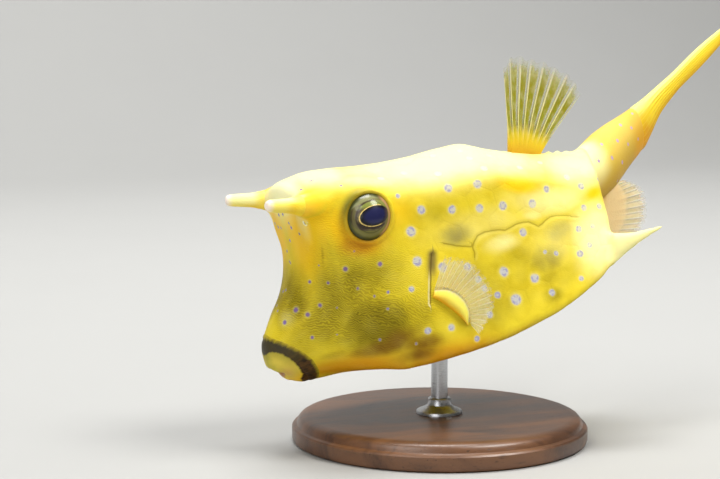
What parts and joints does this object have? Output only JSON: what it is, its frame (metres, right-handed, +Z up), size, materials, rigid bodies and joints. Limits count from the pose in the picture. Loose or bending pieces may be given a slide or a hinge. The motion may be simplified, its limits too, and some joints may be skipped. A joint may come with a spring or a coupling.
{
  "type": "longhorn cowfish model",
  "caption": "Life-size still model of a longhorn cowfish, nose down with its tail swung aside, on a rod and a round wooden base.",
  "frame": {"origin": "centre of the stand base's underside", "axes": "+Z up, -X to the fish's nose and +X to its tail, -Y to the fish's left side"},
  "size_m": [0.209, 0.0955, 0.1313],
  "materials": {
    "skin": "satin yellow skin with pale spots",
    "lips": "satin, dark brown ring round olive lips",
    "eye": "wet gloss, dark pupil in a grey-brown iris",
    "fin": "satin, half-clear membrane between yellow rays",
    "wood": "satin dark walnut",
    "steel": "brushed"
  },
  "bodies": {
    "root": {"head": "skin", "trunk": "skin", "rump": "skin", "tail_stalk": "skin", "mouth": "lips", "horn_left": "skin", "horn_right": "skin", "spine_left": "skin", "spine_right": "skin", "eye_left": "eye", "eye_right": "eye", "dorsal_fin": "fin", "anal_fin": "fin", "caudal_fin": "fin", "pectoral_fin_left": "fin", "pectoral_fin_right": "fin", "stand_base": "wood", "stand_rod": "steel"}
  },
  "joints": []
}
